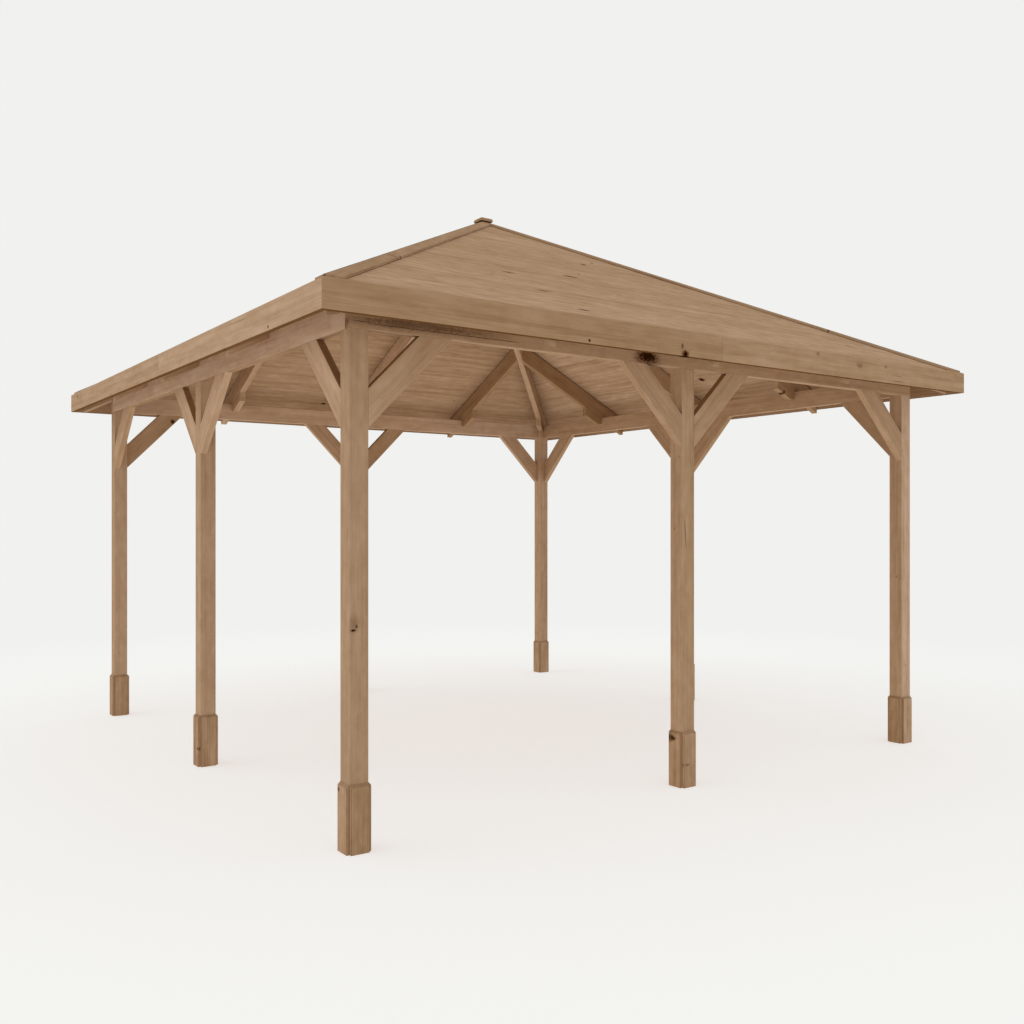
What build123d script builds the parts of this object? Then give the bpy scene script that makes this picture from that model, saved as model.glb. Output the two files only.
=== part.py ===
from build123d import *
import math
import os

# Garden gazebo: a square open timber frame on eight posts under a boarded pyramid roof.
# Millimetres, +Z up. The origin is on the ground at the centre of the square.
# Front is -Y, left is -X. Every side is modelled as the front one and turned into place.

# Frame
footprint = 4000.0        # outside to outside of the posts, along each side
post_width = 90.0         # square section of a post
beam_underside = 2247.0   # clear height below the ring beams
beam_depth = 120.0
beam_thickness = 45.0
tongue_rise = 65.0        # the post's tongue rises this far behind the beams

# Foot boards, one on each face of a post
foot_board_height = 300.0
foot_board_width = 88.0   # stops just short of the post's corners
foot_board_thickness = 14.0

# Knee braces
brace_reach = 422.0       # along the post and along the beam, to the brace's lower edge
brace_width = 120.0
brace_thickness = 40.0

# Rafters
roof_pitch = 27.0         # degrees
rafter_depth = 130.0      # square to the slope
rafter_thickness = 45.0
rafter_lap = 10.0         # a rafter's underside lies this far below the beam's top, at its inner face
heel_length = 175.0       # deeper heel of a rafter, inward from the beam
jack_offset = 1075.0      # jack rafters, from the middle of a side
hip_tail_setback = 52.0   # from the fascia's inner face to the hip rafters' tails

# Roof
roof_overhang = 234.0     # from the posts' outer faces to the fascia's outer face
roof_board_thickness = 16.0
fascia_depth = 125.0
fascia_thickness = 28.0
fascia_lip = 4.0          # its top edge stands this far above the boards, square to the slope
fascia_joint = 0.8        # open butt joint between the two lengths of a side
fascia_joint_offset = 15.0  # the joint's middle, from the middle of the side
hip_board_width = 65.0    # square to the hip, on the slope
hip_board_thickness = 12.0
hip_board_length = 2420.0  # the upper length of each hip board
hip_board_joint = 10.0    # open joint between the two lengths
hip_board_setback = 18.0  # from the fascia's outer face to the lower ends
hip_ridge_joint = 0.8     # open joint between the two boards of a hip
cap_width = 95.0
cap_thickness = 23.0
cap_bevel = 7.0
cap_seat = 13.0           # the hip boards are cut level this far below the point where they meet

# Overrun of every cutting shape past what it cuts
overrun = 50.0

# Derived sizes
pitch = math.radians(roof_pitch)
rise = math.tan(pitch)
diagonal = math.sqrt(2.0)
post_outer = footprint / 2
post_centre = post_outer - post_width / 2
post_inner = post_outer - post_width
beam_inner = post_outer - beam_thickness
beam_top = beam_underside + beam_depth
heel_seat = beam_underside + tongue_rise
roof_outer = post_outer + roof_overhang
fascia_inner = roof_outer - fascia_thickness
hip_tail = fascia_inner - hip_tail_setback
hip_board_end = roof_outer - hip_board_setback
rafter_drop = rafter_depth / math.cos(pitch)
board_drop = roof_board_thickness / math.cos(pitch)
lip_drop = fascia_lip / math.cos(pitch)
hip_board_drop = hip_board_thickness / math.cos(pitch)
hip_clear = rafter_thickness / diagonal
roof_under_apex = beam_top - rafter_lap + rafter_drop + beam_inner * rise
roof_top_apex = roof_under_apex + board_drop
fascia_apex = roof_top_apex + lip_drop
hip_board_apex = roof_top_apex + hip_board_drop
cap_underside = hip_board_apex - cap_seat
plan_reach = roof_outer + overrun

sides = {"front": 0, "right": 90, "back": 180, "left": 270}
corners = {"front_left": 0, "front_right": 90, "back_right": 180, "back_left": 270}

# Section plane of the front side: first axis outward, second axis up.
side_section = Plane(origin=(0, 0, 0), x_dir=(0, -1, 0), z_dir=(-1, 0, 0))
# Section plane along the front left hip, laid out the same way.
hip_section = Plane(origin=(0, 0, 0), x_dir=(-1, -1, 0), z_dir=(-1, 1, 0))


def turned(shape, angle):
    return Rot(0, 0, angle) * shape


def slab(plane, points, thickness):
    return extrude(plane * Polygon(*points, align=None), amount=thickness / 2, both=True)


def upright(points, bottom, top):
    return extrude(Plane.XY.offset(bottom) * Polygon(*points, align=None), amount=top - bottom)


def block(x_range, y_range, z_range):
    (x0, x1), (y0, y1), (z0, z1) = x_range, y_range, z_range
    return Pos((x0 + x1) / 2, (y0 + y1) / 2, (z0 + z1) / 2) * Box(x1 - x0, y1 - y0, z1 - z0)


def roof_level(apex, run):
    return apex - run * rise


def front_bay(inset):
    # Plan wedge of the front slope, its two sides standing off the hips.
    points = [(0, -inset), (-plan_reach, -plan_reach - inset), (plan_reach, -plan_reach - inset)]
    return upright(points, 0, hip_board_apex + overrun)


def under_roof():
    # Everything below the boards: two crossing gables make the pyramid.
    eave = roof_level(roof_under_apex, plan_reach)
    gable = [(-plan_reach, 0), (plan_reach, 0), (plan_reach, eave), (0, roof_under_apex),
             (-plan_reach, eave)]
    across = slab(Plane.XZ, gable, 2 * plan_reach)
    along = slab(Plane.YZ, gable, 2 * plan_reach)
    return across & along


def corner_post():
    low, high = -post_outer, -post_inner
    post = block((low, high), (low, high), (0, beam_underside))
    tongue = block((-beam_inner, high), (-beam_inner, high), (beam_underside, heel_seat))
    return post + tongue


def middle_post():
    half = post_width / 2
    post = block((-half, half), (-post_outer, -post_inner), (0, beam_underside))
    tongue = block((-half, half), (-beam_inner, -post_inner), (beam_underside, heel_seat))
    return post + tongue


def foot_boards():
    # Four boards round a post at the origin, with bevelled tops and open corners.
    face = post_width / 2
    edge = face + foot_board_thickness
    profile = [(face, 0), (edge, 0), (edge, foot_board_height - foot_board_thickness),
               (face, foot_board_height)]
    board = slab(side_section, profile, foot_board_width)
    return [turned(board, angle) for angle in sides.values()]


def beam(half_length):
    return block((-half_length, half_length), (-post_outer, -beam_inner), (beam_underside, beam_top))


def brace(post_face):
    # Rises from the post's face towards +X, flush with the outside of the frame.
    upper = brace_reach - brace_width * diagonal
    outline = [(post_face, beam_underside - brace_reach), (post_face + brace_reach, beam_underside),
               (post_face + upper, beam_underside), (post_face, beam_underside - upper)]
    plank = slab(Plane.XZ, outline, brace_thickness)
    return Pos(0, -post_outer + brace_thickness / 2, 0) * plank


def side_braces():
    right_hand = [brace(-post_inner), brace(post_width / 2)]
    return right_hand + [mirror(piece, about=Plane.YZ) for piece in right_hand]


def rafter_outline(stretch, tail, notched):
    # Runs are measured square to the side and stretched along the plank's own plan line.
    def at(run, level):
        return run * stretch, level

    underside = roof_under_apex - rafter_drop
    heel_start = beam_inner - heel_length / stretch
    points = [at(0, roof_under_apex), at(tail, roof_level(roof_under_apex, tail)),
              at(tail, roof_level(underside, tail))]
    if notched:
        points += [at(post_outer, roof_level(underside, post_outer)), at(post_outer, beam_top),
                   at(beam_inner, beam_top)]
    else:
        points += [at(beam_inner, roof_level(underside, beam_inner))]
    heel_rise = (post_inner - heel_start) * rise
    points += [at(beam_inner, heel_seat), at(post_inner, heel_seat), at(heel_start, heel_seat + heel_rise),
               at(heel_start, roof_level(underside, heel_start)), at(0, underside)]
    return points


def side_rafters():
    # The common rafter and two jacks, cut to the hips at their upper ends.
    plank = slab(side_section, rafter_outline(1, fascia_inner, True), rafter_thickness)
    bay = front_bay(hip_clear)
    return [(Pos(offset, 0, 0) * plank) & bay for offset in (-jack_offset, 0, jack_offset)]


def hip_rafter(roof_space, corner_beams):
    # Backed to both slopes, mitred to the other hips and notched over the beams' corner.
    plank = slab(hip_section, rafter_outline(diagonal, hip_tail, False), rafter_thickness)
    quarter = block((-plan_reach, 0), (-plan_reach, 0), (0, roof_top_apex))
    return (plank & quarter & roof_space) - corner_beams


def roof_slope():
    # Boarded deck of the front slope, mitred along the hips and level under the cap.
    eave = roof_level(roof_top_apex, fascia_inner)
    section = [(0, roof_top_apex), (fascia_inner, eave), (fascia_inner, eave - board_drop),
               (0, roof_under_apex)]
    deck = slab(side_section, section, 2 * plan_reach) & front_bay(0)
    return deck & below_cap()


def below_cap():
    return block((-plan_reach, plan_reach), (-plan_reach, plan_reach), (0, cap_underside))


def fascia_board():
    # Bevelled along the top in line with the slope and mitred at the corners.
    edge = roof_level(fascia_apex, roof_outer)
    section = [(roof_outer, edge), (roof_outer, edge - fascia_depth), (fascia_inner, edge - fascia_depth),
               (fascia_inner, roof_level(fascia_apex, fascia_inner))]
    return slab(side_section, section, 2 * plan_reach) & front_bay(0)


def fascia():
    # Two lengths that meet over the common rafter's tail.
    joint_start = fascia_joint_offset - fascia_joint / 2
    joint = block((joint_start, joint_start + fascia_joint), (-plan_reach, 0), (0, roof_top_apex))
    return list((fascia_board() - joint).solids())


def hip_boards():
    # Boards on the front and left slopes beside the front left hip, in two lengths, notched over the fascia.
    slope_angle = math.atan(1 / math.cos(pitch))
    along_eave = hip_board_width / math.sin(slope_angle)
    gap = hip_ridge_joint / diagonal
    eave = roof_level(roof_top_apex, hip_board_end)
    section = [(0, roof_top_apex), (hip_board_end, eave), (hip_board_end, eave + hip_board_drop),
               (0, hip_board_apex)]
    layer = slab(side_section, section, 2 * plan_reach)
    strip = [(-gap, -gap - gap), (-plan_reach, -plan_reach - gap),
             (-plan_reach + along_eave, -plan_reach - gap), (-gap, -gap - along_eave)]
    strip_prism = upright(strip, 0, hip_board_apex + overrun)
    top_run = (hip_board_apex - cap_underside) / rise
    joint_run = top_run + (hip_board_length + hip_board_joint / 2) / math.hypot(diagonal, rise)
    joint_centre = (-joint_run, -joint_run, roof_level(hip_board_apex, joint_run))
    joint_plane = Plane(origin=joint_centre, x_dir=(1, -1, 0), z_dir=(-1, -1, -rise))
    joint = joint_plane * Box(2 * along_eave, 2 * along_eave, hip_board_joint)
    front_board = (layer & strip_prism & below_cap()) - joint - fascia_board()
    lengths = list(front_board.solids())
    left_lengths = [mirror(piece, about=Plane(origin=(0, 0, 0), z_dir=(1, -1, 0))) for piece in lengths]
    return lengths + left_lengths


def apex_cap():
    half = cap_width / 2
    plate = block((-half, half), (-half, half), (cap_underside, cap_underside + cap_thickness))
    return chamfer(plate.edges().group_by(Axis.Z)[-1], cap_bevel)


def export(name, pieces):
    pieces = pieces if isinstance(pieces, list) else [pieces]
    shape = pieces[0] if len(pieces) == 1 else Compound(children=pieces)
    export_step(shape, f"parts/{name}.step")


def build():
    os.makedirs("parts", exist_ok=True)
    long_beam = beam(post_outer)
    short_beam = beam(beam_inner)
    beams = {side: turned(long_beam if side in ("front", "back") else short_beam, angle)
             for side, angle in sides.items()}
    for side, angle in sides.items():
        export(f"{side}_beam", beams[side])
        export(f"{side}_middle_post", turned(middle_post(), angle))
        middle_feet = [turned(Pos(0, -post_centre, 0) * board, angle) for board in foot_boards()]
        export(f"{side}_middle_foot_boards", middle_feet)
        export(f"{side}_braces", [turned(piece, angle) for piece in side_braces()])
        export(f"{side}_rafters", [turned(piece, angle) for piece in side_rafters()])
        export(f"{side}_roof_slope", turned(roof_slope(), angle))
        export(f"{side}_fascia", [turned(piece, angle) for piece in fascia()])
    corner_beams = long_beam + turned(short_beam, sides["left"])
    hip = hip_rafter(under_roof(), corner_beams)
    for corner, angle in corners.items():
        export(f"{corner}_post", turned(corner_post(), angle))
        corner_feet = [turned(Pos(-post_centre, -post_centre, 0) * board, angle) for board in foot_boards()]
        export(f"{corner}_foot_boards", corner_feet)
        export(f"{corner}_hip_rafter", turned(hip, angle))
        export(f"{corner}_hip_boards", [turned(piece, angle) for piece in hip_boards()])
    export("apex_cap", apex_cap())


build()
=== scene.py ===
import bmesh
import bpy
import math
import random
from mathutils import Matrix, Vector


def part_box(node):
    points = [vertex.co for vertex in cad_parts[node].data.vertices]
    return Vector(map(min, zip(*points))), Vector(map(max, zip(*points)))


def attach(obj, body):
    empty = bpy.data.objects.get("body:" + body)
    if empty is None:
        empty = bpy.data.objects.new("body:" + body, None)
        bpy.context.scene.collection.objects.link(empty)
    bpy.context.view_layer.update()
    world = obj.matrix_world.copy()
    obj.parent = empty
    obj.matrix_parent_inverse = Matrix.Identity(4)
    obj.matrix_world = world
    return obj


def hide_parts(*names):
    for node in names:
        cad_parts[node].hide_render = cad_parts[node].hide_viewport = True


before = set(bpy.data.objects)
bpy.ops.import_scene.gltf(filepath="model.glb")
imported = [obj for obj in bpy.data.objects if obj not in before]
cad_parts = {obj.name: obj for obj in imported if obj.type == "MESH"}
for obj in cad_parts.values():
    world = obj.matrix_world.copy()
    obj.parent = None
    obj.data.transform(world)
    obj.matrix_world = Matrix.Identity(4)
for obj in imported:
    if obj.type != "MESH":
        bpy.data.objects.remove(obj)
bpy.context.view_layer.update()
print("frame loaded with", len(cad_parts), "nodes")


def paint(red, green, blue):  # a screen colour as the linear values that nodes take
    return tuple(((c / 255 + 0.055) / 1.055) ** 2.4 for c in (red, green, blue)) + (1.0,)


class Wire:  # a node's output that can stand in an expression
    def __init__(self, tree, out=None):
        self.tree = tree
        self.out = out

    def add(self, kind, settings=None, sockets=None, output=0):
        node = self.tree.nodes.new(kind)
        for name, value in (settings or {}).items():
            if name == "stops":
                ramp = node.color_ramp.elements
                while len(ramp) < len(value):
                    ramp.new(0.5)
                for stop, (place, level) in zip(ramp, value):
                    stop.position = place
                    stop.color = (level, level, level, 1.0)
            else:
                setattr(node, name, value)
        for name, value in (sockets or {}).items():
            if isinstance(value, Wire):
                self.tree.links.new(value.out, node.inputs[name])
            else:
                node.inputs[name].default_value = value
        return Wire(self.tree, node.outputs[output] if node.outputs else None)

    def maths(self, operation, *values):
        return self.add("ShaderNodeMath", {"operation": operation}, dict(enumerate(values)))

    def __add__(self, other):
        return self.maths("ADD", self, other)

    def __sub__(self, other):
        return self.maths("SUBTRACT", self, other)

    def __rsub__(self, other):
        return self.maths("SUBTRACT", other, self)

    def __mul__(self, other):
        return self.maths("MULTIPLY", self, other)

    def __truediv__(self, other):
        return self.maths("DIVIDE", self, other)

    def __rtruediv__(self, other):
        return self.maths("DIVIDE", other, self)

    def __pow__(self, other):
        return self.maths("POWER", self, other)

    def __abs__(self):
        return self.maths("ABSOLUTE", self)

    __radd__ = __add__
    __rmul__ = __mul__

    def smallest(self, other):
        return self.maths("MINIMUM", self, other)

    def largest(self, other):
        return self.maths("MAXIMUM", self, other)

    def rise(self, start, end):  # eased from 0 at start to 1 at end
        sockets = {"Value": self, "From Min": start, "From Max": end}
        return self.add("ShaderNodeMapRange", {"interpolation_type": "SMOOTHSTEP"}, sockets)

    def parts(self):
        node = self.add("ShaderNodeSeparateXYZ", {}, {0: self}).out.node
        return [Wire(self.tree, out) for out in node.outputs]

    def spot(self, x, y, z):
        return self.add("ShaderNodeCombineXYZ", {}, {0: x, 1: y, 2: z})

    def cloud(self, place, detail, rough, output="Fac"):
        sockets = {"Vector": place, "Scale": 1.0, "Detail": detail, "Roughness": rough}
        return self.add("ShaderNodeTexNoise", {}, sockets, output)

    def blend(self, share, first, second, way="MIX"):
        settings = {"data_type": "RGBA", "blend_type": way}
        return self.add("ShaderNodeMix", settings, {0: share, 6: first, 7: second}, 2)

    def dot(self, other):
        return self.add("ShaderNodeVectorMath", {"operation": "DOT_PRODUCT"}, {0: self, 1: other}, 1)

    def seenPlainly(self):  # 1 on what the camera sees, also in a mirror or through glass
        camera = self.add("ShaderNodeLightPath", {}, {}, "Is Camera Ray")
        mirror = self.add("ShaderNodeLightPath", {}, {}, "Is Glossy Ray")
        glass = self.add("ShaderNodeLightPath", {}, {}, "Is Transmission Ray")
        return camera.largest(mirror).largest(glass)


# Stained softwood. Every board carries its own grain frame, heart and knots as mesh attributes
stain = {
    "early": paint(186, 152, 119),
    "late": paint(152, 118, 86),
    "streak": paint(144, 110, 79),
    "knot": paint(100, 68, 38),
    "rim": paint(48, 18, 3),
    "crack": paint(62, 34, 10),
    "crackShare": 0.8,
    "arris": paint(192, 159, 124),
    "arrisShare": 0.45,
    "arrisWidth": 0.006,
    "endGrain": paint(172, 138, 104),
    "endGrainShare": 0.6,
    "endFacing": (0.6, 0.95),  # how squarely a face is cut before it shows end grain
    "bleached": paint(218, 179, 141),
    "bleach": 0.0,         # share of bleaching on the weather side
    "weatherSide": (0.2, 0.7),
    "faded": paint(196, 170, 146),
    "paintedTopShade": 0.0,        # painted shade darkening upper faces, which lie in the roof's shadow
    "paintedTopShadeFacing": (0.25, 0.6),
    "underside": 0.0,      # painted shade darkening faces that look down
    "paintedUndersideFacing": (-0.2, -0.7),
    "paintedEndShade": 0.0,       # how far painted shade reaches in from the ends, m
    "paintedEndShadeShare": 0.7,
    "paintedEndShadeCore": 0.4,   # share of that way with the full painted shade
    "paintedEndShadeWobble": 0.006,
    "deepen": (1.26, 1.75),    # green and blue go faster than red where the stain is thicker or the painted shade deeper
    "blotch": 0.22,        # uneven uptake of the stain
    "patch": 0.10,
    "mottle": 0.40,        # soft light and dark along the grain
    "streaks": 0.50,
    "streakRange": (0.42, 0.78),
    "figure": 0.44,        # contrast of the growth rings
    "vivid": 0.7,          # share of that contrast that comes and goes
    "vividRange": (0.3, 0.75),
    "fibre": 0.30,
    "wander": 0.016,       # how far the heart strays along a board, m
    "wanderScale": 0.8,
    "ringWobble": 0.007,
    "ringShift": 0.5,
    "ringStops": [(0.0, 0.0), (0.4, 0.2), (0.8, 1.0), (0.92, 0.9), (1.0, 0.0)],
    "knotShare": 0.16,     # share of the cells with a knot
    "roughness": 0.68,
    "roughShares": {"fibre": 0.16, "late": 0.05, "endGrain": 0.1, "knot": 0.08},
    "specular": 0.12,
    "bump": 0.5,
    "bumpDepth": 0.0007,
    "bumpShares": {"fibre": 0.6, "late": 0.35, "crack": 2.0, "rim": 0.6, "wobble": 0.4},
    "splitWidth": 0.0018,
}
grainPatterns = {          # scale along and across the grain per m, shift by the seed, detail, roughness
    "wobble": (1.6, 16.0, 1.0, 2.0, 0.5),
    "vivid": (0.7, 8.0, 5.0, 1.0, 0.5),
    "fibre": (14.0, 820.0, 1.0, 2.0, 0.6),
    "streak": (0.9, 38.0, 2.0, 3.0, 0.62),
    "patch": (3.1, 6.0, 1.0, 2.0, 0.5),
    "mottle": (4.3, 27.0, 2.3, 3.0, 0.6),
    "blotch": (13.0, 24.0, 3.1, 2.0, 0.55),
    "torn": (55.0, 90.0, 1.0, 2.0, 0.6),
    "crackLine": (0.3, 9.0, 1.3, 0.0, 0.5),
    "crackReach": (1.7, 2.0, 4.1, 1.0, 0.5),
}
scatteredKnots = {
    "cell": (0.30, 1.1),   # spacing along the board in m, and round the heart in radians
    "shift": (3.7, 1.9),   # shift of the cells by the board's seed
    "size": (0.08, 0.20),  # radius as a share of the distance from the heart
    "lean": 0.22,
    "leanFrom": 0.05,      # distance from the heart where the lean is nothing, m
    "shareEdge": 0.01,
    "missing": 9.0,        # pushes the knot of an empty cell out of sight
    "edge": (1.12, 0.78),
    "palest": 0.35,
    "rimInside": (0.7, 0.98),
    "rimOutside": (1.45, 1.0),
    "bend": 0.02,          # how softly the rings bend round a knot
}
placedMarks = {            # knots and cracks that are listed one by one
    "knots": 3,            # most on one board
    "splits": 2,
    "edge": (1.5, 0.5),
    "rim": (0.8, 0.35),
    "tear": 0.9,           # raggedness of the knot, and of its rim
    "rimTear": 0.8,
    "bend": 0.03,
    "farSide": -40.0,      # a branch grows to one side of the heart only
    "splitWobble": 0.006,
    "splitTaper": 18.0,    # a crack reaches its full width within 1 / this, m
    "splitTip": 0.0004,
    "splitEdge": (1.0, 0.4),
    "splitEnds": (0.0, 0.15),
    "line": (0.006, 0.001),    # the scattered drying cracks
    "reach": (0.64, 0.70),
}


def stainedWood(name, changes):
    look = {**stain, **changes}
    material = bpy.data.materials.new(name)
    material.use_nodes = True
    material.node_tree.nodes.clear()
    wire = Wire(material.node_tree)

    def attribute(label):
        return wire.add("ShaderNodeAttribute", {"attribute_name": label}, {}, "Vector")

    along, across, deep = attribute("grain").parts()
    halfLong, halfAcross, halfDeep = attribute("half").parts()
    heartAcross, heartDeep, ring = attribute("heart").parts()
    seed, tone, fade = attribute("board").parts()

    def pattern(label):  # a cloud stretched along the grain, another one on each board
        longScale, crossScale, shift, detail, rough = grainPatterns[label]
        place = wire.spot(along * longScale + seed * shift, across * crossScale, deep * crossScale)
        return wire.cloud(place, detail, rough)

    # the heart strays along the board, and the rings are not quite round
    stray = wire.cloud(wire.spot(along * look["wanderScale"], seed, 0.0), 1.0, 0.5, "Color").parts()
    fromHeartA = across - heartAcross + (stray[0] - 0.5) * look["wander"]
    fromHeartD = deep - heartDeep + (stray[1] - 0.5) * look["wander"]
    radius = (fromHeartA ** 2.0 + fromHeartD ** 2.0) ** 0.5
    wobble = pattern("wobble")
    growth = radius + (wobble - 0.5) * look["ringWobble"]

    # scattered knots: each cell round the heart may hold one branch
    knots = scatteredKnots
    turn = wire.maths("ARCTAN2", fromHeartD, fromHeartA)
    cellLong, cellTurn = knots["cell"]
    shiftLong, shiftTurn = knots["shift"]
    cells = wire.spot(along / cellLong + seed * shiftLong, turn / cellTurn + seed * shiftTurn, 0.0)
    voronoi = wire.add("ShaderNodeTexVoronoi", {"voronoi_dimensions": "2D"}, {"Vector": cells, "Scale": 1.0})
    nearest = Wire(wire.tree, voronoi.out.node.outputs["Position"])
    draw = Wire(wire.tree, voronoi.out.node.outputs["Color"]).parts()
    cellX, cellY = cells.parts()[:2]
    nearX, nearY = nearest.parts()[:2]
    lift = (cellX - nearX) * cellLong + (radius - knots["leanFrom"]) * knots["lean"]
    aside = (cellY - nearY) * cellTurn * radius
    low, high = knots["size"]
    swell = draw[0] * draw[0] * (high - low) + low
    missing = draw[1].rise(look["knotShare"], look["knotShare"] + knots["shareEdge"])
    shell = (lift ** 2.0 + aside ** 2.0) ** 0.5 / swell + missing * knots["missing"]
    nearKnot = shell / radius
    knot = nearKnot.rise(*knots["edge"]) * (knots["palest"] + (1.0 - knots["palest"]) * draw[2])
    rim = nearKnot.rise(*knots["rimInside"]) * nearKnot.rise(*knots["rimOutside"]) * draw[2] * draw[2]
    growth = wire.maths("SMOOTH_MIN", growth, shell, knots["bend"])

    # the knots that are listed one by one
    marks = placedMarks
    darkness = attribute("dark").parts()
    stretch = attribute("stretch").parts()
    torn = pattern("torn") - 0.5
    for number in range(marks["knots"]):
        place, bearing, size = attribute(f"knot{number + 1}").parts()
        cosine = wire.maths("COSINE", bearing)
        sine = wire.maths("SINE", bearing)
        reach = fromHeartA * cosine + fromHeartD * sine
        sideways = fromHeartD * cosine - fromHeartA * sine
        upward = (along - place) / stretch[number]
        ownShell = (upward ** 2.0 + sideways ** 2.0) ** 0.5 / size + (reach * marks["farSide"]).largest(0.0)
        ownNear = ownShell / radius + torn * marks["tear"]
        dark = darkness[number]
        knot = knot.largest(ownNear.rise(*marks["edge"]) * dark)
        rim = rim.largest((ownNear + torn * marks["rimTear"]).rise(*marks["rim"]) * dark * dark)
        growth = wire.maths("SMOOTH_MIN", growth, ownShell, marks["bend"])

    # growth rings, fibres and broad streaks
    phase = wire.maths("FRACT", growth / ring + wobble * look["ringShift"])
    late = wire.add("ShaderNodeValToRGB", {"stops": look["ringStops"]}, {"Fac": phase})
    vivid = pattern("vivid").rise(*look["vividRange"])
    fibre = pattern("fibre")
    streak = pattern("streak").rise(*look["streakRange"])
    patch = pattern("patch")
    mottle = pattern("mottle")
    blotch = pattern("blotch")

    # drying cracks follow the grain for a short way
    crack = abs(pattern("crackLine") - 0.5).rise(*marks["line"]) * pattern("crackReach").rise(*marks["reach"])
    for number in range(marks["splits"]):
        start, end, line = attribute(f"split{number + 1}").parts()
        offLine = abs(across - line + (wobble - 0.5) * marks["splitWobble"])
        fromStart = (along - start) * marks["splitTaper"]
        toEnd = (end - along) * marks["splitTaper"]
        inside = fromStart.smallest(toEnd).largest(0.0).smallest(1.0)
        lens = offLine / (marks["splitTip"] + inside * look["splitWidth"])
        crack = crack.largest(lens.rise(*marks["splitEdge"]) * inside.rise(*marks["splitEnds"]))

    # arrises take the stain differently, pale ones as wear and dark ones as painted shade, and end grain
    # drinks it
    arris = (halfAcross - abs(across)).largest(halfDeep - abs(deep))
    arrisWearAndShade = (arris + (patch - 0.5) * look["arrisWidth"]).rise(look["arrisWidth"], 0.0) * look["arrisShare"]
    facing = wire.add("ShaderNodeNewGeometry", {}, {}, "True Normal")
    endGrain = abs(facing.dot(attribute("axis"))).rise(*look["endFacing"])
    upper = facing.parts()[2]

    contrast = (vivid * look["vivid"] + (1.0 - look["vivid"])) * look["figure"]
    figure = (late * contrast + (fibre - 0.5) * look["fibre"]).largest(0.0)
    colour = wire.blend(figure, look["early"], look["late"])
    colour = wire.blend(streak * look["streaks"], colour, look["streak"])
    if look["bleach"]:
        colour = wire.blend(upper.rise(*look["weatherSide"]) * look["bleach"], colour, look["bleached"])
    colour = wire.blend(arrisWearAndShade, colour, look["arris"])
    colour = wire.blend(fade, colour, look["faded"])
    colour = wire.blend(endGrain * look["endGrainShare"], colour, look["endGrain"])
    # painted shade creeping in from the board ends, in the end grain colour
    if look["paintedEndShade"]:
        fromEnd = halfLong - abs(along) + (fibre - 0.5) * look["paintedEndShadeWobble"]
        paintedEndShadeMask = fromEnd.rise(look["paintedEndShade"], look["paintedEndShade"] * look["paintedEndShadeCore"])
        colour = wire.blend(paintedEndShadeMask * look["paintedEndShadeShare"], colour, look["endGrain"])
    colour = wire.blend(knot, colour, look["knot"])
    colour = wire.blend(rim, colour, look["rim"])
    colour = wire.blend(crack * look["crackShare"], colour, look["crack"])

    # thicker stain is darker and redder, and so is the painted shade on sides, upper faces and undersides
    shade = tone * (1.0 + facing.dot(attribute("sap"))) * (1.0 + (patch - 0.5) * look["patch"])
    shade = shade * (1.0 + (mottle - 0.5) * look["mottle"] + (blotch - 0.5) * look["blotch"])
    # painted shade on upper faces and on undersides
    if look["paintedTopShade"]:
        shade = shade * (1.0 - upper.rise(*look["paintedTopShadeFacing"]) * look["paintedTopShade"])
    if look["underside"]:
        shade = shade * (1.0 - upper.rise(*look["paintedUndersideFacing"]) * look["underside"])
    deepGreen, deepBlue = look["deepen"]
    deepened = wire.spot(shade, shade ** deepGreen, shade ** deepBlue)
    colour = wire.blend(1.0, colour, deepened, "MULTIPLY")

    relief = look["bumpShares"]
    height = fibre * relief["fibre"] + late * relief["late"] + wobble * relief["wobble"]
    height = height - crack * relief["crack"] - rim * relief["rim"]
    bump = {"Strength": look["bump"], "Distance": look["bumpDepth"], "Height": height}
    normal = wire.add("ShaderNodeBump", {}, bump)
    dull = look["roughShares"]
    rough = look["roughness"] + (fibre - 0.5) * dull["fibre"] + endGrain * dull["endGrain"]
    rough = rough - late * dull["late"] - knot * dull["knot"]
    finish = {"Base Color": colour, "Roughness": rough, "Normal": normal,
              "Specular IOR Level": look["specular"]}
    surface = wire.add("ShaderNodeBsdfPrincipled", {}, finish)
    wire.add("ShaderNodeOutputMaterial", {}, {"Surface": surface})
    return material


# frame and rafter wood carry painted shade on their upper faces
frameWood = stainedWood("frame_wood", {
    "paintedTopShade": 0.34, "figure": 0.36, "streaks": 0.42, "blotch": 0.30, "knotShare": 0.02, "specular": 0.02})
rafterWood = stainedWood("rafter_wood", {
    "paintedTopShade": 0.75, "figure": 0.36, "streaks": 0.42, "blotch": 0.30, "knotShare": 0.06, "specular": 0.02})
roofWood = stainedWood("roof_wood", {
    "streaks": 0.65, "mottle": 0.55, "blotch": 0.30, "knotShare": 0.03, "bleach": 0.5, "specular": 0.0,
    "splitWidth": 0.018})
# trim wood carries painted shade on its undersides
trimWood = stainedWood("trim_wood", {
    "knotShare": 0.12, "bleach": 0.5, "underside": 0.65, "specular": 0.0})
# the dark arris of the foot boards is painted shade along their edges
footWood = stainedWood("foot_wood", {
    "figure": 0.6, "mottle": 0.6, "blotch": 0.4, "knotShare": 0.10, "specular": 0.02,
    "arris": paint(104, 70, 42), "arrisShare": 0.7, "arrisWidth": 0.003})
# the dark arris and the darkened ends of the hip covers are painted shade
coverWood = stainedWood("cover_wood", {
    "knotShare": 0.08, "arris": paint(80, 50, 26), "arrisShare": 0.85, "arrisWidth": 0.0045,
    "endGrain": paint(80, 49, 22), "paintedEndShade": 0.007, "bleach": 0.3, "specular": 0.0})
print("wood finishes made")


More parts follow.
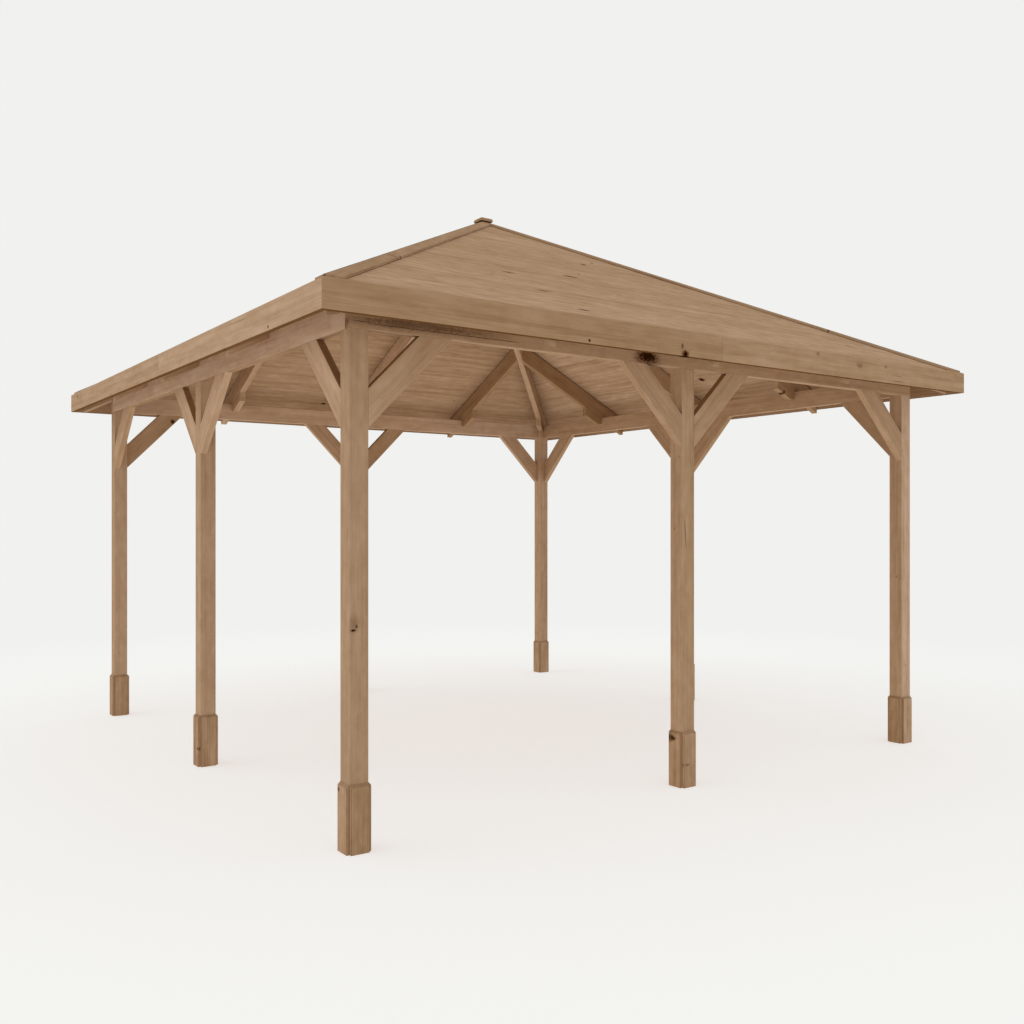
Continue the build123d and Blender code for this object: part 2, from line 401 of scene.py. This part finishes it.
# Boards: each separate solid of a piece gets its own grain frame, heart, tone and knots
boards = {
    "weld": 0.00002,
    "flat": 0.5,           # degrees between faces that are joined into one
    "arrisSteps": 3,
    "endCut": 0.0007,      # sawn ends stay nearly sharp
    "sharp": 40.0,         # degrees between faces before an edge is eased
    "smooth": 50.0,        # degrees between faces before an edge is shaded as sharp
    "normalWeight": 100,
    "alongGrain": 0.995,   # an edge runs along the grain where its cosine is over this
    "sideFace": 0.1,       # a face lies along the grain where its cosine is under this
    "topFace": 0.75,
    "ring": (0.0030, 0.0056),
    "tone": (0.93, 1.05),
    "seeds": (0.0, 60.0),
    "boxedHeart": 0.35,    # how far a post's heart may lie off its middle, in half widths
    "offHeart": (0.35, 1.5),   # a flat sawn board's distance from the heart, in half widths
    "heartAside": 0.6,
    "nearHeart": 0.01,     # a placed knot is at least this far from the heart, m
    "slack": 0.004,        # a mark this close to a board still lies on it, m
    "nowhere": 1000.0,     # where spare marks go, m
    "spareSize": 0.1,
}
toneAndShadeBias = {               # how dark the boards of a piece came out, board by board: the wood's own tone together with painted light and shade for how brightly each piece is lit
    "front_fascia_boards": (0.87, 1.02),
    "front_left_post_timber": (0.94,),
    "front_left_foot_planks": (0.96,),
    "front_middle_foot_planks": (0.93, 1.02),
    "left_middle_post_timber": (0.97,),
    "left_beam_timber": (1.28,),
    "left_brace_timbers": (1.12,),
    "left_fascia_boards": (1.12, 0.97),
    "front_beam_timber": (0.97,),
    "back_beam_timber": (1.19,),
    "back_right_post_timber": (1.11,),
    "back_left_post_timber": (1.02,),
    "front_middle_post_timber": (1.07,),
    "front_roof_boarding": (1.07,),
    "back_roof_boarding": (0.91,),
    "back_rafter_timbers": (1.0, 1.16, 0.78),
    "right_rafter_timbers": (0.9, 0.9, 0.70),
}
paintedSideShades = {              # painted light and shade: faces looking along this way are made paler, and opposite faces darker, by this share
    "front_right_post_timber": (0.0, -0.28, 0.0),
    "front_right_foot_planks": (0.19, -0.19, 0.0),
    "front_left_foot_planks": (-0.06, 0.06, 0.0),
    "back_left_post_timber": (0.0, -0.10, 0.0),
    "left_beam_timber": (0.0, 0.0, 0.42),
}
fadedPieces = {            # pieces whose stain has faded, and by what share
    "left_fascia_boards": 0.20,
    "front_left_post_timber": 0.12,
    "left_middle_post_timber": 0.10,
    "front_left_foot_planks": 0.06,
    "back_left_post_timber": 0.06,
    "right_roof_boarding": 0.08,
    "back_roof_boarding": 0.10,
    "back_beam_timber": 0.15,
}


def islandsOf(form):
    form.verts.ensure_lookup_table()
    seen = set()
    found = []
    for start in form.verts:
        if start in seen:
            continue
        seen.add(start)
        members = [start]
        for vert in members:
            for edge in vert.link_edges:
                other = edge.other_vert(vert)
                if other not in seen:
                    seen.add(other)
                    members.append(other)
        found.append(members)

    def middle(members):
        centre = sum((v.co for v in members), Vector()) / len(members)
        return tuple(round(c, 3) for c in centre)

    return sorted(found, key=middle)


def grainAxis(members):  # the longest edge gives the grain
    edges = dict.fromkeys(edge for vert in members for edge in vert.link_edges)

    def order(edge):
        return round(edge.calc_length(), 3), abs(edge.verts[0].co.x - edge.verts[1].co.x)

    longest = max(edges, key=order)
    axis = (longest.verts[1].co - longest.verts[0].co).normalized()
    lead = max(axis, key=abs)
    return axis if lead > 0 else -axis


def wideFaceNormal(members, axis):
    faces = dict.fromkeys(face for vert in members for face in vert.link_faces)
    sideFaces = [face for face in faces if abs(face.normal.dot(axis)) < boards["sideFace"]]

    def order(face):
        normal = face.normal
        return round(face.calc_area(), 4), round(normal.z, 2), round(normal.x, 2), round(-normal.y, 2)

    return max(sideFaces, key=order).normal.copy()


def easeEdges(form, arris, topArris):
    bmesh.ops.recalc_face_normals(form, faces=form.faces[:])
    sharp = math.radians(boards["sharp"])

    def grainAxes():
        axes = {}
        for members in islandsOf(form):
            axis = grainAxis(members)
            axes.update({vert: axis for vert in members})
        return axes

    def isLong(edge, axes):
        line = (edge.verts[1].co - edge.verts[0].co).normalized()
        return abs(line.dot(axes[edge.verts[0]])) > boards["alongGrain"]

    def outer(edge):
        return len(edge.link_faces) == 2 and edge.is_convex and edge.calc_face_angle() > sharp

    def faceUp(edge):
        return any(face.normal.z > boards["topFace"] for face in edge.link_faces)

    axes = grainAxes()
    longEdges = [edge for edge in form.edges if outer(edge) and isLong(edge, axes)]
    if topArris == arris:
        upper, rest = [], longEdges
    else:
        upper = [edge for edge in longEdges if faceUp(edge)]
        rest = [edge for edge in longEdges if not faceUp(edge)]
    for edges, offset in ((rest, arris), (upper, topArris)):
        bmesh.ops.bevel(form, geom=edges, offset=offset, segments=boards["arrisSteps"], profile=0.5,
                        affect="EDGES", clamp_overlap=True)
    axes = grainAxes()
    endEdges = [edge for edge in form.edges if outer(edge) and not isLong(edge, axes)]
    bmesh.ops.bevel(form, geom=endEdges, offset=boards["endCut"], segments=1, profile=0.5,
                    affect="EDGES", clamp_overlap=True)


class Board:  # the grain frame of one solid: along, across and through it
    def __init__(self, members):
        axis = grainAxis(members)
        deepWay = wideFaceNormal(members, axis)
        self.ways = (axis, deepWay.cross(axis).normalized(), deepWay)
        spans = [[way.dot(v.co) for v in members] for way in self.ways]
        self.middle = Vector([(min(span) + max(span)) / 2 for span in spans])
        self.half = Vector([(max(span) - min(span)) / 2 for span in spans])

    def local(self, point):
        return Vector([way.dot(Vector(point)) for way in self.ways]) - self.middle

    def holds(self, local):
        return all(abs(local[i]) < self.half[i] + boards["slack"] for i in range(3))

    def knots(self, placed, heart):  # each as its place, direction and size, with darkness and stretch
        found = []
        for point, size, darkness, stretch in placed:
            local = self.local(point)
            if self.holds(local):
                aside, inward = local.y - heart[0], local.z - heart[1]
                reach = max(math.hypot(aside, inward), boards["nearHeart"])
                found.append(((local.x, math.atan2(inward, aside), size / reach), darkness, stretch))
        spare = ((boards["nowhere"], 0.0, boards["spareSize"]), 0.0, 1.0)
        return (found + [spare] * placedMarks["knots"])[:placedMarks["knots"]]

    def splits(self, placed):  # each as its start, end and line
        found = []
        for ends in placed:
            first, second = (self.local(point) for point in ends)
            if self.holds(first) and self.holds(second):
                start, end = sorted((first.x, second.x))
                found.append((start, end, (first.y + second.y) / 2))
        spare = (boards["nowhere"], boards["nowhere"] + 1.0, 0.0)
        return (found + [spare] * placedMarks["splits"])[:placedMarks["splits"]]


def dressBoards(form, pieceName, boxedHeart, placedKnots, placedSplits):
    layers = form.verts.layers.float_vector
    names = ["grain", "half", "heart", "board", "axis", "dark", "stretch", "sap"]
    names += [f"knot{number + 1}" for number in range(placedMarks["knots"])]
    names += [f"split{number + 1}" for number in range(placedMarks["splits"])]
    layer = {name: layers.new(name) for name in names}
    bias = toneAndShadeBias.get(pieceName, (1.0,))
    for number, members in enumerate(islandsOf(form)):
        draw = random.Random(f"{pieceName} {number}")
        board = Board(members)
        half = board.half
        seed = draw.uniform(*boards["seeds"])
        if boxedHeart:
            off = boards["boxedHeart"]
            heart = (draw.uniform(-off, off) * half.y, draw.uniform(-off, off) * half.z)
        else:
            off = boards["heartAside"]
            away = draw.choice((-1, 1)) * (half.z + draw.uniform(*boards["offHeart"]) * half.y)
            heart = (draw.uniform(-off, off) * half.y, away)
        ring = draw.uniform(*boards["ring"])
        tone = draw.uniform(*boards["tone"]) * bias[number % len(bias)]
        knots = board.knots(placedKnots, heart)
        values = {
            "half": half,
            "heart": (*heart, ring),
            "board": (seed, tone, fadedPieces.get(pieceName, 0.0)),
            "axis": board.ways[0],
            "sap": paintedSideShades.get(pieceName, (0.0, 0.0, 0.0)),
            "dark": [darkness for shape, darkness, stretch in knots],
            "stretch": [stretch for shape, darkness, stretch in knots],
        }
        for index, (shape, darkness, stretch) in enumerate(knots):
            values[f"knot{index + 1}"] = shape
        for index, split in enumerate(board.splits(placedSplits)):
            values[f"split{index + 1}"] = split
        for vert in members:
            vert[layer["grain"]] = board.local(vert.co)
            for name, value in values.items():
                vert[layer[name]] = value


def finishPiece(form, pieceName, material, slotName, node, boxedHeart=False, placedKnots=(), placedSplits=()):
    dressBoards(form, pieceName, boxedHeart, placedKnots, placedSplits)
    mesh = bpy.data.meshes.new(pieceName)
    form.to_mesh(mesh)
    form.free()
    mesh.materials.append(material)
    mesh.shade_smooth()
    mesh.set_sharp_from_angle(angle=math.radians(boards["smooth"]))
    piece = bpy.data.objects.new(pieceName, mesh)
    bpy.context.scene.collection.objects.link(piece)
    weighted = piece.modifiers.new("flat faces", "WEIGHTED_NORMAL")
    weighted.keep_sharp = True
    weighted.weight = boards["normalWeight"]
    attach(piece, "root")
    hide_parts(node)


def closeJoint(form, close):  # boards that butt on one line grow towards each other
    spans = []
    for members in islandsOf(form):
        axis = grainAxis(members)
        along = [axis.dot(v.co) for v in members]
        spans.append((members, axis, along, min(along), max(along)))
    lowest = min(span[3] for span in spans)
    highest = max(span[4] for span in spans)
    for members, axis, along, start, end in spans:
        for vert, place in zip(members, along):
            if end < highest - trim["innerEnd"] and place > end - trim["endFace"]:
                vert.co += axis * close
            if start > lowest + trim["innerEnd"] and place < start + trim["endFace"]:
                vert.co -= axis * close


def timber(nodeName, pieceName, material, slotName, arris, topArris=None, close=0.0, **marks):
    form = bmesh.new()
    form.from_mesh(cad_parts[nodeName].data)
    bmesh.ops.remove_doubles(form, verts=form.verts[:], dist=boards["weld"])
    flat = math.radians(boards["flat"])
    bmesh.ops.dissolve_limit(form, angle_limit=flat, verts=form.verts[:], edges=form.edges[:])
    if close:
        closeJoint(form, close)
    easeEdges(form, arris, topArris or arris)
    finishPiece(form, pieceName, material, slotName, nodeName, **marks)


sides = {"front": 0, "right": 90, "back": 180, "left": 270}
corners = ("front_left", "front_right", "back_right", "back_left")

# Posts and their foot boards
posts = {"arris": 0.002, "footArris": 0.0015}
postKnots = {              # each knot: its place, radius, darkness and stretch along the grain
    "front_left": (((-1.981, -2.0, 0.956), 0.012, 1.0, 0.55),
                   ((-1.9645, -2.0, 0.972), 0.007, 0.75, 1.5),
                   ((-1.9755, -2.0, 0.981), 0.020, 0.32, 1.8)),
}
footKnots = {
    "front_left": (((-2.014, -1.921, 0.268), 0.010, 0.7, 1.0),),
    "front_middle": (((-0.059, -1.945, 0.260), 0.016, 0.9, 1.0),
                     ((-0.023, -2.014, 0.123), 0.008, 0.5, 1.0)),
    "left_middle": (((-2.014, -0.030, 0.105), 0.010, 0.8, 1.0),),
}

for place in [*corners, *[f"{side}_middle" for side in sides]]:
    timber(f"{place}_post", f"{place}_post_timber", frameWood, "frame_timber", posts["arris"],
           boxedHeart=True, placedKnots=postKnots.get(place, ()))
    timber(f"{place}_foot_boards", f"{place}_foot_planks", footWood, "trim_boards", posts["footArris"],
           placedKnots=footKnots.get(place, ()))
print("posts and foot boards made")

# Ring beams, knee braces and rafters
carcass = {"beamArris": 0.002, "braceArris": 0.002, "rafterArris": 0.002, "rafterTop": 0.011}
beamKnotsAndShadow = {
    "front": (((-0.297, -2.0, 2.288), 0.034, 1.0, 2.4),
              ((-1.8644, -2.0, 2.2872), 0.012, 0.5, 0.8),
              # the long faint third mark is painted shadow of the fascia on the beam
              ((-1.66, -2.0, 2.292), 0.022, 0.58, 18.0)),
}
beamSplits = {             # each crack: its two ends
    "front": (((-1.9977, -2.0, 2.2766), (-1.8857, -2.0, 2.2822)),
              ((-1.9097, -2.0, 2.2669), (-1.1039, -2.0, 2.2798))),
}
braceKnots = {"back": (((-1.5582, 1.96, 2.2002), 0.014, 0.9, 1.2),)}
rafterKnots = {"right": (((1.8437, -1.0975, 2.3578), 0.012, 0.9, 1.0),)}

for side in sides:
    timber(f"{side}_beam", f"{side}_beam_timber", frameWood, "frame_timber", carcass["beamArris"],
           placedKnots=beamKnotsAndShadow.get(side, ()), placedSplits=beamSplits.get(side, ()))
    timber(f"{side}_braces", f"{side}_brace_timbers", frameWood, "frame_timber", carcass["braceArris"],
           placedKnots=braceKnots.get(side, ()))
    timber(f"{side}_rafters", f"{side}_rafter_timbers", rafterWood, "frame_timber", carcass["rafterArris"],
           carcass["rafterTop"], placedKnots=rafterKnots.get(side, ()))
for corner in corners:
    timber(f"{corner}_hip_rafter", f"{corner}_hip_timber", rafterWood, "frame_timber", carcass["rafterArris"],
           carcass["rafterTop"])
print("beams, braces and rafters made")

# Roof boards, tongued and grooved, laid along the eaves and mitred at the hips
roofBoards = {
    "pitch": 27.0,
    "thickness": 0.016,
    "cover": 0.121,
    "gap": 0.0008,
    "vee": 0.004,          # chamfer of the joint seen from inside
    "ease": 0.0014,        # chamfer on the weather side
    "tongue": 0.006,
    "tongueTaper": 0.0004,
    "grooveClear": 0.0004,
    "grooveDepth": 0.007,
    "cup": 0.0006,         # rounding across a board
    "crown": (0.33, 0.67),     # the flat between, as shares of the width
    "settle": 0.0005,      # boards lie unevenly by up to this
    "tip": 0.0006,         # half the least length, at the peak
}
roofKnots = {
    "right": (((1.8748, -0.2612, 2.5438), 0.017, 1.0, 1.5),),
    "back": (((-0.2594, 2.0804, 2.439), 0.017, 1.0, 1.3),),
}
roofSplits = {
    "front": (((-0.89, -1.5155, 2.7448), (-0.79, -1.5155, 2.7448)),
              ((-0.88, -1.8165, 2.5914), (-0.78, -1.8165, 2.5914)),
              ((-0.84, -2.0869, 2.4536), (-0.74, -2.0869, 2.4536)),
              ((-0.35, -1.3360, 2.8362), (-0.21, -1.3360, 2.8362))),
}


def rowProfile(start, end, first, last, sink):  # up the slope and square to it, from the top surface
    thick, tongue, gap = (roofBoards[key] for key in ("thickness", "tongue", "gap"))
    vee, ease, cup = (roofBoards[key] for key in ("vee", "ease", "cup"))
    taper, clear = roofBoards["tongueTaper"], roofBoards["grooveClear"]
    low = start + (0 if first else gap / 2)
    high = end - (0 if last else gap / 2)
    upper, lower = -thick / 2 + tongue / 2, -thick / 2 - tongue / 2
    crownLow, crownHigh = (low + (high - low) * share for share in roofBoards["crown"])
    profile = [(low + ease, -sink - cup), (crownLow, -sink), (crownHigh, -sink),
               (high - ease, -sink - cup), (high, -sink - cup - ease)]
    if not last:
        tip = high + tongue
        profile += [(high, upper), (tip, upper - taper), (tip, lower + taper), (high, lower)]
    profile += [(high, -thick + sink + vee), (high - vee, -thick + sink)]
    if first:
        plumb = thick * math.tan(math.radians(roofBoards["pitch"]))
        profile += [(-plumb, -thick + sink), (0.0, -sink - cup)]
    else:
        groove = low + roofBoards["grooveDepth"]
        profile += [(low + vee, -thick + sink), (low, -thick + sink + vee), (low, lower - clear),
                    (groove, lower - clear), (groove, upper + clear), (low, upper + clear),
                    (low, -sink - cup - ease)]
    return profile


def roofRow(form, turn, eaveRun, eaveTop, profile):
    pitch = math.radians(roofBoards["pitch"])
    rings = []
    for hand in (-1, 1):
        ring = []
        for slope, normal in profile:
            run = eaveRun - slope * math.cos(pitch) + normal * math.sin(pitch)
            level = eaveTop + slope * math.sin(pitch) + normal * math.cos(pitch)
            ring.append(form.verts.new(turn @ Vector((hand * max(run, roofBoards["tip"]), -run, level))))
        rings.append(ring)
    count = len(profile)
    for i in range(count):
        j = (i + 1) % count
        form.faces.new((rings[0][i], rings[0][j], rings[1][j], rings[1][i]))
    form.faces.new(rings[0][::-1])
    form.faces.new(rings[1])


def roofSlope(side, angle):
    lowest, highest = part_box("front_roof_slope")
    pitch = math.radians(roofBoards["pitch"])
    eaveTop = lowest.z + roofBoards["thickness"] / math.cos(pitch)
    length = (highest.z - eaveTop) / math.sin(pitch)
    rows = math.ceil(length / roofBoards["cover"])
    turn = Matrix.Rotation(math.radians(angle), 3, "Z")
    draw = random.Random(f"{side} roof")
    form = bmesh.new()
    for row in range(rows):
        start = row * roofBoards["cover"]
        end = min(start + roofBoards["cover"], length)
        sink = draw.uniform(0.0, roofBoards["settle"])
        roofRow(form, turn, -lowest.y, eaveTop, rowProfile(start, end, row == 0, row == rows - 1, sink))
    bmesh.ops.recalc_face_normals(form, faces=form.faces[:])
    finishPiece(form, f"{side}_roof_boarding", roofWood, "roof_boards", f"{side}_roof_slope",
                placedKnots=roofKnots.get(side, ()), placedSplits=roofSplits.get(side, ()))


for side, angle in sides.items():
    roofSlope(side, angle)
print("roof boarded")

# Fascia, hip boards and cap
trim = {
    "fasciaArris": 0.002,
    "hipArris": 0.0012,
    "hipClose": 0.0042,    # how far each hip board grows into its open joint
    "innerEnd": 0.1,       # an end this far from the outermost end is at a joint, m
    "endFace": 0.001,
    "capArris": 0.0012,
}
fasciaKnots = {
    "front": (((-0.251, -2.234, 2.272), 0.018, 1.0, 1.3),
              ((-0.272, -2.234, 2.306), 0.014, 0.6, 0.6),
              ((-0.8756, -2.234, 2.2731), 0.007, 1.0, 1.0),
              ((0.782, -2.234, 2.370), 0.010, 0.35, 1.5),
              ((1.160, -2.234, 2.336), 0.012, 0.35, 2.2),
              ((1.409, -2.234, 2.352), 0.010, 0.32, 1.2)),
    "left": (((-2.234, -1.6748, 2.274), 0.008, 0.8, 1.0),),
}

for side in sides:
    timber(f"{side}_fascia", f"{side}_fascia_boards", trimWood, "trim_boards", trim["fasciaArris"],
           placedKnots=fasciaKnots.get(side, ()))
for corner in corners:
    timber(f"{corner}_hip_boards", f"{corner}_hip_covers", coverWood, "trim_boards", trim["hipArris"],
           close=trim["hipClose"])
timber("apex_cap", "apex_cap_block", trimWood, "trim_boards", trim["capArris"])
print("trim made")

# Studio: pale floor that keeps the shadow, open light from all round, a broad lamp from the upper left
studio = {
    "backdrop": paint(241, 241, 239),
    "floorSize": 60.0,
    "floorColour": (0.82, 0.81, 0.80, 1.0),
    "floorGlow": 0.45,     # light from below, as from a large white floor
    "floorShown": (0.612, 0.545, 0.552, 1.0),  # even part of the floor that the camera sees
    "floorShaded": (0.48, 0.60, 0.55, 1.0),    # the part that keeps the shadow
    "floorFade": (4.2, 8.5),   # where the floor turns into the backdrop, m from the middle
    "skyColour": (1.0, 1.0, 1.0, 1.0),
    "skyStrength": 0.58,
    "keyStrength": 0.5,
    "keyFrom": (-1.0, 0.35, 0.35),
    "keySpread": 60.0,
}


def makeFloor():
    form = bmesh.new()
    reach = studio["floorSize"]
    square = ((-reach, -reach), (reach, -reach), (reach, reach), (-reach, reach))
    form.faces.new([form.verts.new((x, y, 0.0)) for x, y in square])
    mesh = bpy.data.meshes.new("studio_floor")
    form.to_mesh(mesh)
    form.free()
    floor = bpy.data.objects.new("studio_floor", mesh)
    bpy.context.scene.collection.objects.link(floor)
    material = bpy.data.materials.new("studio_floor")
    material.use_nodes = True
    material.node_tree.nodes.clear()
    wire = Wire(material.node_tree)
    white = wire.add("ShaderNodeBsdfDiffuse", {}, {"Color": studio["floorColour"]})
    glow = wire.add("ShaderNodeEmission", {}, {"Strength": studio["floorGlow"]})
    bounce = wire.add("ShaderNodeAddShader", {}, {0: white, 1: glow})
    even = wire.add("ShaderNodeEmission", {}, {"Color": studio["floorShown"], "Strength": 1.0})
    shaded = wire.add("ShaderNodeBsdfDiffuse", {}, {"Color": studio["floorShaded"]})
    near = wire.add("ShaderNodeAddShader", {}, {0: even, 1: shaded})
    place = wire.add("ShaderNodeNewGeometry", {}, {}, "Position")
    away = wire.add("ShaderNodeVectorMath", {"operation": "LENGTH"}, {0: place}, 1).rise(*studio["floorFade"])
    far = wire.add("ShaderNodeEmission", {}, {"Color": studio["backdrop"], "Strength": 1.0})
    pale = wire.add("ShaderNodeMixShader", {}, {0: away, 1: near, 2: far})
    surface = wire.add("ShaderNodeMixShader", {}, {0: wire.seenPlainly(), 1: bounce, 2: pale})
    wire.add("ShaderNodeOutputMaterial", {}, {"Surface": surface})
    mesh.materials.append(material)


def makeSky():
    world = bpy.data.worlds.new("studio_sky")
    bpy.context.scene.world = world
    world.use_nodes = True
    world.node_tree.nodes.clear()
    wire = Wire(world.node_tree)
    sky = {"Color": studio["skyColour"], "Strength": studio["skyStrength"]}
    light = wire.add("ShaderNodeBackground", {}, sky)
    pale = wire.add("ShaderNodeBackground", {}, {"Color": studio["backdrop"], "Strength": 1.0})
    surface = wire.add("ShaderNodeMixShader", {}, {0: wire.seenPlainly(), 1: light, 2: pale})
    wire.add("ShaderNodeOutputWorld", {}, {"Surface": surface})


def makeKey():
    lamp = bpy.data.lights.new("key_lamp", "SUN")
    lamp.energy = studio["keyStrength"]
    lamp.angle = math.radians(studio["keySpread"])
    key = bpy.data.objects.new("key_lamp", lamp)
    bpy.context.scene.collection.objects.link(key)
    key.rotation_euler = Vector(studio["keyFrom"]).to_track_quat("Z", "Y").to_euler()


makeFloor()
makeSky()
makeKey()
bpy.context.scene.view_settings.view_transform = "Standard"
print("studio lit")

# The photograph's eye: a level camera at 1.4 m, turned 35 degrees
eye = {
    "place": (-3.9303, -5.9619, 1.401),
    "turn": (90.0, 0.0, -35.0),
    "lens": 35.973,
    "sensor": 36.0,
    "shift": 0.013836,
}
camera = bpy.data.cameras.new("eye")
camera.lens = eye["lens"]
camera.sensor_width = eye["sensor"]
camera.shift_y = eye["shift"]
cameraObject = bpy.data.objects.new("eye", camera)
bpy.context.scene.collection.objects.link(cameraObject)
cameraObject.location = eye["place"]
cameraObject.rotation_euler = [math.radians(a) for a in eye["turn"]]
bpy.context.scene.camera = cameraObject
print("camera set")
